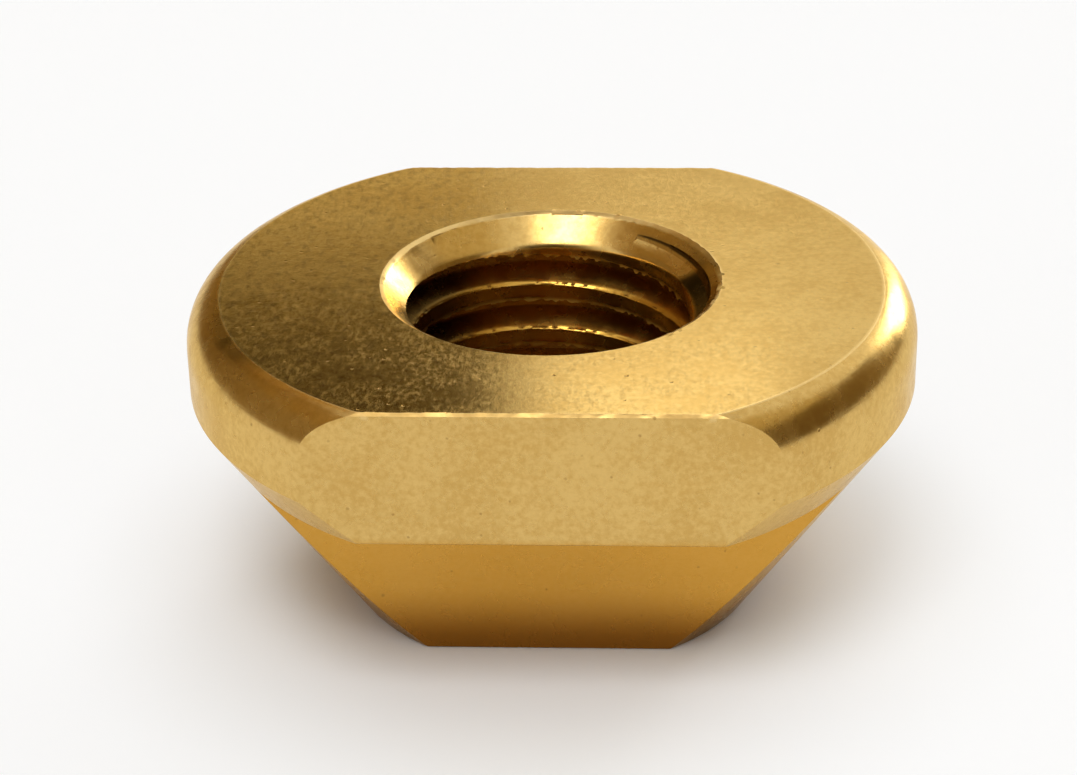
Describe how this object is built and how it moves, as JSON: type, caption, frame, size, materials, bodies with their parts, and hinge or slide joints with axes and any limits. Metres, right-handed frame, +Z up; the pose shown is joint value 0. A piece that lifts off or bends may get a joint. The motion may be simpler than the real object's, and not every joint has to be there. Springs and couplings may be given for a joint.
{
  "type": "track nut",
  "caption": "Brass track nut: a disc head with two flats and a rounded rim, tapering to a narrower tongue, with a countersunk M8 thread through it.",
  "frame": {"origin": "middle of the base, on the thread's axis", "axes": "+Z up along the thread from the base to the countersunk top face; +X along the head's longest way, parallel to the milled flats"},
  "size_m": [0.0176, 0.0138, 0.0078],
  "materials": {
    "brass": "satin, as machined"
  },
  "bodies": {
    "root": {"track_nut": "brass"}
  },
  "joints": []
}
